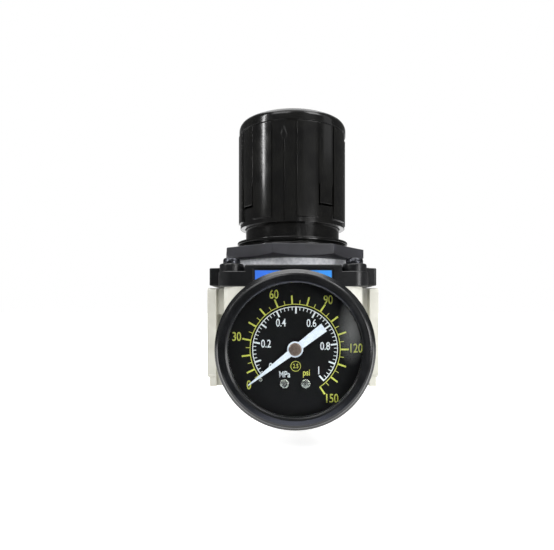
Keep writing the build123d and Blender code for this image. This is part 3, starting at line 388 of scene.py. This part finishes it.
def black_zinc():
    """Black passivated zinc on steel: a dark metal with worn bright edges."""
    material, shader = new_material("black_zinc_steel", Metallic=1.0)
    cloud = object_noise(material, 1.0, 4.0)
    mottle(material, shader, "#3B3C40", "#56575C", cloud.outputs["Fac"], 0.35, 0.7)
    vary_roughness(material, shader, cloud.outputs["Fac"], 0.25, 0.4)
    relief(material, shader, cloud.outputs["Fac"], 0.01, 0.5)
    return material


screw_finish = black_zinc()
for number in range(1, 5):
    screw = copy_of(f"cover_screw_{number}", f"pan_head_screw_{number}")
    finish_edges(screw, screw_edge, 2)
    coat(screw, screw_finish)
    place_for(screw, f"cover_screw_{number}", "housing")


# Clamp ring: a bright ring between the cover frame and the panel nut.
# It is aluminium, barrel tumbled, so its rim has a skin of small dents.

ring_edge = 0.3


def tumbled_aluminium():
    """Aluminium from the tumbling barrel: pale and matt, as its oxide skin scatters light."""
    material, shader = new_material("tumbled_aluminium", Metallic=0.65)
    dents = object_noise(material, 1.3, 2.0, 0.5)
    mottle(material, shader, "#D8DADF", "#F2F3F6", dents.outputs["Fac"], 0.35, 0.65)
    vary_roughness(material, shader, dents.outputs["Fac"], 0.6, 0.75)
    relief(material, shader, dents.outputs["Fac"], 0.1, 0.6)
    return material


ring = copy_of("clamp_ring", "clamp_ring_turned")
finish_edges(ring, ring_edge)
coat(ring, tumbled_aluminium())
place_for(ring, "clamp_ring", "housing")


# Panel nut: an eight-sided moulded nut on the panel thread, dark grey and satin.
# A cone cuts its lower corners, which leaves an arc on each flat.

nut_drop = 0.8
nut_top_band = 1.0
nut_edge = 0.3
nut_edge_angle = 20


def satin_nylon():
    """Dark grey nylon from a spark-eroded mould: satin, with a fine even grain."""
    material, shader = new_material("satin_grey_nylon", IOR=1.53)
    cloud = object_noise(material, 5.0)
    mottle(material, shader, "#242428", "#2E2E34", cloud.outputs["Fac"], 0.3, 0.7)
    grain = object_noise(material, 0.28, 2.0)
    vary_roughness(material, shader, grain.outputs["Fac"], 0.34, 0.46)
    relief(material, shader, grain.outputs["Fac"], 0.015, 0.5)
    return material


def select_points(piece, chosen):
    """In edit mode, select just the points that a test on their place accepts."""
    pick(piece)
    bpy.ops.object.mode_set(mode="EDIT")
    bpy.ops.mesh.select_mode(type="VERT")
    bpy.ops.mesh.select_all(action="DESELECT")
    edit = bmesh.from_edit_mesh(piece.data)
    for point in edit.verts:
        point.select_set(chosen(point.co))
    edit.select_flush_mode()
    bmesh.update_edit_mesh(piece.data)


nut = copy_of("panel_nut", "panel_nut_moulding")
nut_low, nut_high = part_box("panel_nut")
select_points(nut, lambda point: point.z > nut_high.z - nut_top_band * mm)
bpy.ops.transform.translate(value=(0, 0, -nut_drop * mm))
bpy.ops.object.mode_set(mode="OBJECT")
finish_edges(nut, nut_edge, angle=nut_edge_angle)
coat(nut, satin_nylon())
place_for(nut, "panel_nut", "housing")


# Knob: a glossy black moulding with four plain recesses, eight grip panels and four latch
# tongues cut free by U-shaped slits. It turns the screw, and is pushed down to lock.

knob_skin_from = 19.0
knob_skin_growth = 1.018
knob_edge = 0.15

knob = copy_of("knob", "knob_moulding")
select_points(knob, lambda point: point.xy.length > knob_skin_from * mm)
bpy.ops.transform.resize(value=(knob_skin_growth, knob_skin_growth, 1),
                         center_override=(0, 0, 0))
bpy.ops.object.mode_set(mode="OBJECT")
finish_edges(knob, knob_edge)
coat(knob, acetal)
place_for(knob, "knob", "knob")


# Gauge case and bezel: a drawn steel cup and a turned ring, stoved with black enamel.
# The bezel's lip steps in towards the glass.

case_edge = 0.1
bezel_edge = 0.08
bezel_edge_angle = 20


def stoved_enamel():
    """Black stoved enamel on steel: deep and glossy, drawn thin over the edges."""
    material, shader = new_material("stoved_black_enamel", IOR=1.5)
    shader.inputs["Specular IOR Level"].default_value = 0.45
    cloud = object_noise(material, 5.0, 2.0)
    mottle(material, shader, "#0E0F10", "#131416", cloud.outputs["Fac"])
    vary_roughness(material, shader, cloud.outputs["Fac"], 0.2, 0.28)
    relief(material, shader, cloud.outputs["Fac"], 0.004, 0.3)
    return material


enamel = stoved_enamel()
case = copy_of("gauge_case", "gauge_case_cup")
finish_edges(case, case_edge, 2)
coat(case, enamel)
place_for(case, "gauge_case", "housing")
bezel = copy_of("gauge_bezel", "gauge_bezel_ring")
finish_edges(bezel, bezel_edge, 2, bezel_edge_angle)
coat(bezel, enamel)
place_for(bezel, "gauge_bezel", "housing")


# Gauge socket, movement and tube: brass and bronze pieces soldered, screwed and pinned.
# They sit behind the dial, where the tube's tip pulls the link and turns the toothed sector.


def phosphor_bronze():
    """Phosphor bronze strip and tube: reddish gold with drawing lines."""
    material, shader = new_material("phosphor_bronze", Metallic=1.0)
    cloud = object_noise(material, 3.0, 4.0)
    mottle(material, shader, "#A97B45", "#C29358", cloud.outputs["Fac"], 0.3, 0.7)
    vary_roughness(material, shader, cloud.outputs["Fac"], 0.25, 0.4)
    relief(material, shader, cloud.outputs["Fac"], 0.01, 0.4)
    return material


bronze = phosphor_bronze()
dress(["gauge_socket", "rear_plate", "front_plate", "plate_pillar_1", "plate_pillar_2",
       "sector_gear", "sector_link", "tube_tip"], brass)
dress(["bourdon_tube", "hairspring"], bronze)


# Dial: black enamelled aluminium sheet with two printed scales, held by two domed screws.
# White figures read in megapascals, and yellow ones outside them in pounds per square inch.

dial_low, dial_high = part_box("gauge_dial")
dial_centre = (dial_low + dial_high) / 2
dial_face = dial_low.y
print_height = 0.03
zero_angle = 225.0
arc_start = 217.0
inner_span = 272.5
inner_steps = 50
outer_degrees_per_psi = 1.877
outer_full = 150
outer_step = 5
arc_facets = 90
bold_line = 0.42
white_arc_r = 11.2
yellow_arc_r = 11.9
white_height = 2.1
yellow_height = 2.4
unit_height = 1.7
class_height = 1.15
text_size_to_height = 0.72
text_squeeze = 0.75
ink_spread = 0.012
ink_weld = 0.002
dial_edge = 0.05


def dial_paint():
    """Black enamel on sheet: flat and even, with a trace of texture from the spray."""
    material, shader = new_material("black_dial_enamel", IOR=1.5)
    shader.inputs["Specular IOR Level"].default_value = 0.1
    grain = object_noise(material, 0.4, 3.0)
    mottle(material, shader, "#0B0A0B", "#100F10", grain.outputs["Fac"])
    vary_roughness(material, shader, grain.outputs["Fac"], 0.45, 0.6)
    relief(material, shader, grain.outputs["Fac"], 0.001, 0.1)
    return material


def printing_ink(name, first, second):
    """Pad-printed ink: flat, opaque, and a little uneven where the pad lifted."""
    material, shader = new_material(name, IOR=1.5)
    patch = object_noise(material, 0.3, 3.0)
    mottle(material, shader, first, second, patch.outputs["Fac"], 0.3, 0.6)
    vary_roughness(material, shader, patch.outputs["Fac"], 0.4, 0.55)
    return material


def on_dial(radius, angle, lift=0.0):
    """Point on the dial's face, by radius in millimetres and angle in degrees."""
    return Vector((dial_centre.x + radius * mm * cos(radians(angle)), dial_face - lift * mm,
                   dial_centre.z + radius * mm * sin(radians(angle))))


def flat_arc(name, radius, width, start, end, steps, centre):
    """Ring sector on the dial: a short edge across the line, spun about a centre."""
    along = Vector((cos(radians(start)), 0, sin(radians(start))))
    pick_none()
    bpy.ops.mesh.primitive_plane_add(size=width * mm, location=centre + along * radius * mm)
    piece = bpy.context.object
    piece.name = name
    bpy.ops.object.transform_apply(location=True, rotation=True, scale=True)
    bpy.ops.object.mode_set(mode="EDIT")
    bpy.ops.mesh.select_mode(type="VERT")
    bpy.ops.mesh.select_all(action="SELECT")
    bpy.ops.mesh.merge(type="CENTER")
    edit = bmesh.from_edit_mesh(piece.data)
    edit.verts.ensure_lookup_table()
    edit.verts[0].co = centre + along * (radius - width / 2) * mm
    bmesh.update_edit_mesh(piece.data)
    bpy.ops.mesh.extrude_region_move(TRANSFORM_OT_translate={"value": along * width * mm})
    bpy.ops.mesh.select_all(action="SELECT")
    bpy.ops.mesh.spin(steps=steps, angle=radians(start - end), center=centre, axis=(0, -1, 0))
    bpy.ops.object.mode_set(mode="OBJECT")
    return piece


def tick(name, inner, outer, width, angle):
    """Printed scale line between two radii."""
    middle = on_dial((inner + outer) / 2, angle)
    pick_none()
    bpy.ops.mesh.primitive_plane_add(size=1, location=middle)
    piece = bpy.context.object
    piece.name = name
    piece.scale = ((outer - inner) * mm, width * mm, 1)
    piece.rotation_euler = (pi / 2, -radians(angle), 0)
    bpy.ops.object.transform_apply(location=True, rotation=True, scale=True)
    return piece


def lettering(name, words, height, radius, angle):
    """Upright printed text, centred on a point of the dial."""
    pick_none()
    bpy.ops.object.text_add()
    piece = bpy.context.object
    piece.name = name
    piece.data.body = words
    piece.data.align_x = "CENTER"
    piece.data.align_y = "CENTER"
    piece.data.size = height * mm / text_size_to_height
    piece.data.offset = ink_spread * height * mm
    bpy.ops.object.convert(target="MESH")
    piece = bpy.context.object
    piece.scale = (text_squeeze, 1, 1)
    piece.rotation_euler = (pi / 2, 0, 0)
    piece.location = on_dial(radius, angle)
    bpy.ops.object.transform_apply(location=True, rotation=True, scale=True)
    return piece


def one_print(name, pieces, material):
    """Join printed lines into one thin layer of ink."""
    pick_none()
    for piece in pieces:
        piece.select_set(True)
    bpy.context.view_layer.objects.active = pieces[0]
    bpy.ops.object.join()
    ink = bpy.context.object
    ink.name = name
    ink.data.name = name
    bpy.ops.object.mode_set(mode="EDIT")
    bpy.ops.mesh.select_all(action="SELECT")
    bpy.ops.mesh.remove_doubles(threshold=ink_weld * mm)
    bpy.ops.mesh.normals_make_consistent(inside=False)
    bpy.ops.mesh.extrude_region_move(
        TRANSFORM_OT_translate={"value": (0, -print_height * mm, 0)})
    bpy.ops.mesh.select_all(action="SELECT")
    bpy.ops.mesh.normals_make_consistent(inside=False)
    bpy.ops.object.mode_set(mode="OBJECT")
    coat(ink, material)
    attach(ink, "housing")
    return ink


dial_middle = on_dial(0, 0)
white_lines = [flat_arc("white_arc", white_arc_r, 0.2, arc_start, zero_angle - inner_span,
                        arc_facets, dial_middle)]
for step in range(2, inner_steps + 1):
    angle = zero_angle - inner_span * step / inner_steps
    long_line = step % 5 == 0
    white_lines.append(tick(f"white_line_{step}", 9.45 if long_line else 10.3, 11.3,
                            bold_line if long_line else 0.18, angle))
for words, radius, angle in (("0", 8.0, 216.4), ("0.2", 7.8, 170), ("0.4", 7.85, 118.5),
                             ("0.6", 8.05, 57.5), ("0.8", 7.95, 5.3), ("1", 8.45, -42.5)):
    white_lines.append(lettering(f"white_figure_{words}", words, white_height, radius, angle))
white_lines.append(lettering("white_unit", "MPa", unit_height, 7.26, 247.3))
white_print = one_print("dial_white_print", white_lines,
                        printing_ink("white_printing_ink", "#D5D8DE", "#F0F2F5"))

outer_end = zero_angle - outer_degrees_per_psi * outer_full
yellow_lines = [flat_arc("yellow_arc", yellow_arc_r, 0.18, arc_start, outer_end, arc_facets,
                         dial_middle)]
for pounds in range(outer_step, outer_full + 1, outer_step):
    angle = zero_angle - outer_degrees_per_psi * pounds
    long_line = pounds % 10 == 0
    yellow_lines.append(tick(f"yellow_line_{pounds}", 11.85, 14.2 if long_line else 13.05,
                             bold_line if long_line else 0.16, angle))
for words, radius, angle in (("0", 15.5, 218), ("30", 15.8, 168.2), ("60", 15.45, 111.3),
                             ("90", 15.6, 56), ("120", 16.0, 0.6), ("150", 16.25, -53.8)):
    yellow_lines.append(lettering(f"yellow_figure_{words}", words, yellow_height, radius, angle))
yellow_lines.append(lettering("yellow_unit", "psi", unit_height, 6.9, 295.5))
class_centre = on_dial(4.5, 272)
yellow_lines.append(flat_arc("class_circle", 1.3, 0.14, 360, 0, 32, class_centre))
yellow_lines.append(lettering("class_figure", "2.5", class_height, 4.5, 272))
yellow_print = one_print("dial_yellow_print", yellow_lines,
                         printing_ink("yellow_printing_ink", "#BDBD42", "#D8D85A"))

dial = copy_of("gauge_dial", "dial_plate")
finish_edges(dial, dial_edge, 2)
coat(dial, dial_paint())
place_for(dial, "gauge_dial", "housing")


# Dial screws and stop pin: two domed nickel-plated screws hold the dial on its posts.
# The pin, of plated brass too, stops the pointer short of zero when there is no pressure.

dome_smooth = 80
pin_edge = 0.04


def nickel_plate():
    """Bright nickel on brass: warm silver and nearly a mirror."""
    material, shader = new_material("bright_nickel_plate", Metallic=1.0)
    cloud = object_noise(material, 0.6, 3.0)
    mottle(material, shader, "#B9B8AE", "#D2D0C6", cloud.outputs["Fac"], 0.3, 0.7)
    vary_roughness(material, shader, cloud.outputs["Fac"], 0.22, 0.3)
    relief(material, shader, cloud.outputs["Fac"], 0.002, 0.1)
    return material


nickel = nickel_plate()
for node in ("dial_screw_left", "dial_screw_right"):
    domed = copy_of(node, node + "_nickel")
    finish_edges(domed, 0, smooth=dome_smooth)
    coat(domed, nickel)
    place_for(domed, node, "housing")
pin = copy_of("stop_pin", "stop_pin_turned")
finish_edges(pin, pin_edge, 2)
coat(pin, nickel)
place_for(pin, "stop_pin", "housing")


# Pointer and cap: a punched aluminium pointer, sprayed white, pressed on the pinion shaft.
# A small turned cap covers the end of the shaft.

hub_clear = 6.0
blade_shift = 0.55
blade_angle = 217.7
blade_edge = 0.05
cap_edge = 0.1


def white_enamel():
    """White enamel on thin sheet, with a cold cast under glass."""
    material, shader = new_material("white_pointer_enamel", IOR=1.5)
    patch = object_noise(material, 0.8, 3.0)
    mottle(material, shader, "#D5DAE6", "#E3E7F0", patch.outputs["Fac"])
    vary_roughness(material, shader, patch.outputs["Fac"], 0.35, 0.5)
    return material


def cap_metal():
    """Turned brass cap under a thin grey plating that lets the warm colour through."""
    material, shader = new_material("grey_plated_brass", Metallic=1.0)
    cloud = object_noise(material, 0.5, 3.0)
    mottle(material, shader, "#8A7468", "#A08C80", cloud.outputs["Fac"], 0.3, 0.7)
    vary_roughness(material, shader, cloud.outputs["Fac"], 0.3, 0.45)
    return material


pointer = copy_of("pointer", "pointer_blade")
select_points(pointer, lambda point: (point - dial_middle).xz.length > hub_clear * mm)
bpy.ops.transform.translate(value=on_dial(blade_shift, blade_angle) - dial_middle)
bpy.ops.object.mode_set(mode="OBJECT")
finish_edges(pointer, blade_edge, 2)
coat(pointer, white_enamel())
place_for(pointer, "pointer", "pointer_group")
cap = copy_of("pointer_cap", "pointer_cap_turned")
finish_edges(cap, cap_edge)
coat(cap, cap_metal())
place_for(cap, "pointer_cap", "pointer_group")


# Glass: a flat disc of clear window glass, cut and ground round at its rim.
# It is held in the bezel against a rubber gasket.

glass_edge = 0.1


def clear_glass():
    """Window glass: clear, with a green trace at its rim. Lamps shine through it."""
    material, shader = new_material("window_glass", IOR=1.52)
    shader.inputs["Base Color"].default_value = linear("#F4FAF8")
    shader.inputs["Transmission Weight"].default_value = 1.0
    shader.inputs["Roughness"].default_value = 0.0
    shader.inputs["Specular IOR Level"].default_value = 0.5
    smear = object_noise(material, 14.0, 1.0)
    relief(material, shader, smear.outputs["Fac"], 0.002, 0.1)
    lamp_ray = add_node(material, "LightPath").outputs["Is Shadow Ray"]
    passing = add_node(material, "BsdfTransparent")
    both = add_node(material, "MixShader", links={"Fac": lamp_ray})
    tree = material.node_tree
    tree.links.new(shader.outputs["BSDF"], both.inputs[1])
    tree.links.new(passing.outputs["BSDF"], both.inputs[2])
    output = next(node for node in tree.nodes if node.type == "OUTPUT_MATERIAL")
    tree.links.new(both.outputs["Shader"], output.inputs["Surface"])
    return material


glass = copy_of("gauge_glass", "gauge_window")
finish_edges(glass, glass_edge, 2)
coat(glass, clear_glass())
place_for(glass, "gauge_glass", "housing")


# Table, lamps and camera: a white table under soft lamps, seen at the height of the ports.
# Glowing cards stand round it, met only by mirrored and glass rays: painted reflections, dim as
# felt or bright as reflectors, for the black mouldings and the glass.

table_size = 8.0
photo_width = 554
photo_height = 550
pixel_x0 = 286.4
pixel_y0 = 308.7
camera_place = (-2.3 * mm, -187 * mm, 37.3 * mm)
camera_lens = 31.5


def table_surface():
    """White table that shows the shadow and runs out to white."""
    material, shader = new_material("white_table", Roughness=0.6)
    shader.inputs["Base Color"].default_value = linear("#F4F4F4")
    rays = add_node(material, "LightPath")
    seen = add_node(material, "Math", operation="MAXIMUM")
    tree = material.node_tree
    tree.links.new(rays.outputs["Is Camera Ray"], seen.inputs[0])
    tree.links.new(rays.outputs["Is Glossy Ray"], seen.inputs[1])
    shader.inputs["Emission Color"].default_value = (1, 1, 1, 1)
    glow = add_node(material, "Math", operation="MULTIPLY")
    tree.links.new(seen.outputs["Value"], glow.inputs[0])
    glow.inputs[1].default_value = 0.67
    tree.links.new(glow.outputs["Value"], shader.inputs["Emission Strength"])
    return material


pick_none()
bpy.ops.mesh.primitive_plane_add(size=table_size)
table = bpy.context.object
table.name = "table"
coat(table, table_surface())


def lamp(name, place, target, width, height, power):
    """Rectangular soft lamp turned towards a point."""
    data = bpy.data.lights.new(name, "AREA")
    data.shape = "RECTANGLE"
    data.size = width
    data.size_y = height
    data.energy = power
    piece = bpy.data.objects.new(name, data)
    piece.location = place
    piece.rotation_euler = (Vector(target) - Vector(place)).to_track_quat("-Z", "Y").to_euler()
    bpy.context.scene.collection.objects.link(piece)


middle = (0, 0, 0.06)
lamp("top_box", (0.0, 0.05, 0.6), middle, 0.5, 0.4, 2.4)
lamp("key", (0.42, -0.36, 0.62), middle, 0.3, 0.3, 2.0)
lamp("side_box", (0.27, -0.33, 0.05), (0, 0, 0.03), 0.12, 0.1, 0.55)
lamp("left_strip", (-0.44, -0.24, 0.33), (0, 0, 0.09), 0.035, 0.24, 0.9)
lamp("front_fill", (-0.25, -0.5, 0.6), middle, 0.4, 0.3, 1.4)


def card(name, place, width, height, brightness, turn=0, tilt=90, colour="#FFFFFF",
         soft=False):
    """Glowing card that only mirrored and glass rays meet: a painted reflection, dim as grey felt
    or bright as a reflector.
    """
    bpy.ops.mesh.primitive_plane_add(size=1, location=place)
    piece = bpy.context.object
    piece.name = name
    piece.scale = (width, height, 1)
    piece.rotation_euler = (radians(tilt), 0, radians(turn))
    bpy.ops.object.transform_apply(location=True, rotation=True, scale=True)
    material, shader = new_material(name + "_face", Roughness=1.0)
    shader.inputs["Base Color"].default_value = (0, 0, 0, 1)
    shader.inputs["Specular IOR Level"].default_value = 0.0
    shader.inputs["Emission Color"].default_value = linear(colour)
    shader.inputs["Emission Strength"].default_value = brightness
    if soft:
        spot = add_node(material, "TexCoord").outputs["Generated"]
        centred = add_node(material, "Mapping", {"Location": (-1, 0, -1), "Scale": (2, 0, 2)},
                           {"Vector": spot})
        fade = add_node(material, "TexGradient", links={"Vector": centred.outputs["Vector"]},
                        gradient_type="SPHERICAL")
        level = add_node(material, "Math", {1: brightness}, {0: fade.outputs["Fac"]},
                         operation="MULTIPLY")
        material.node_tree.links.new(level.outputs["Value"], shader.inputs["Emission Strength"])
    coat(piece, material)
    piece.visible_camera = False
    piece.visible_diffuse = False
    piece.visible_shadow = False


# The felt cards glow dimly and meet only mirrored and glass rays: painted reflections of grey
# surroundings and of a dark table, in the black mouldings and the glass.
card("front_painted_reflection", (0, -1.2, 0.7), 2.6, 2.0, 0.14)
card("lens_painted_reflection", (0, -1.1, 0.07), 0.9, 0.14, 0.02)
card("table_painted_reflection", (0, -0.65, 0.0005), 1.6, 1.12, 0.02, tilt=0)
# Painted reflection: a bluish glowing patch on the table, seen only in reflections, that lights
# up the bezel's lower rim.
card("table_sheen", (0, -0.092, 0.0006), 0.06, 0.015, 4.0, tilt=0, colour="#DCE3FF")
card("rear_painted_reflection", (0, 1.2, 0.6), 2.6, 1.2, 0.2)
card("left_painted_reflection", (-0.9, 0, 0.7), 2.4, 2.0, 0.12, turn=90)
card("right_painted_reflection", (0.9, 0, 0.7), 2.4, 2.0, 0.12, turn=90)
# These cards glow brighter and meet only mirrored and glass rays: painted reflections. Two paint
# soft highlights on the knob's right panels, one paints a light reflection on the nut's front
# flat and the neck, and the last a soft glare on the gauge glass.
card("soft_painted_reflection", (0.4, -0.57, 0.36), 0.34, 0.5, 0.4, turn=35)
card("side_painted_reflection", (0.59, -0.125, 0.44), 0.24, 0.34, 0.8, turn=78)
card("nut_painted_reflection", (0.17, -0.62, 0.122), 0.08, 0.06, 4.0, turn=15)
card("window_glare", (0.0265, -0.15, 0.0275), 0.013, 0.032, 1.6, soft=True)

world = bpy.data.worlds.new("studio")
world.use_nodes = True
bpy.context.scene.world = world
world.node_tree.nodes.clear()
rays = add_node(world, "LightPath")
seen = add_node(world, "Math", operation="MAXIMUM")
world.node_tree.links.new(rays.outputs["Is Camera Ray"], seen.inputs[0])
world.node_tree.links.new(rays.outputs["Is Glossy Ray"], seen.inputs[1])
through = add_node(world, "Math", operation="MAXIMUM")
world.node_tree.links.new(seen.outputs["Value"], through.inputs[0])
world.node_tree.links.new(rays.outputs["Is Transmission Ray"], through.inputs[1])
soft = add_node(world, "Background", {"Color": (1, 1, 1, 1), "Strength": 0.55})
white = add_node(world, "Background", {"Color": (1, 1, 1, 1), "Strength": 1.0})
both = add_node(world, "MixShader", links={"Fac": through.outputs["Value"]})
world.node_tree.links.new(soft.outputs["Background"], both.inputs[1])
world.node_tree.links.new(white.outputs["Background"], both.inputs[2])
add_node(world, "OutputWorld", links={"Surface": both.outputs["Shader"]})

camera_data = bpy.data.cameras.new("camera")
camera = bpy.data.objects.new("camera", camera_data)
bpy.context.scene.collection.objects.link(camera)
camera.location = camera_place
camera.rotation_euler = (pi / 2, 0, 0)
camera_data.lens = camera_lens
camera_data.shift_x = (photo_width / 2 - pixel_x0) / photo_width
camera_data.shift_y = (pixel_y0 - photo_height / 2) / photo_width
camera_data.clip_start = 0.01
bpy.context.scene.camera = camera
bpy.context.scene.view_settings.view_transform = "Standard"
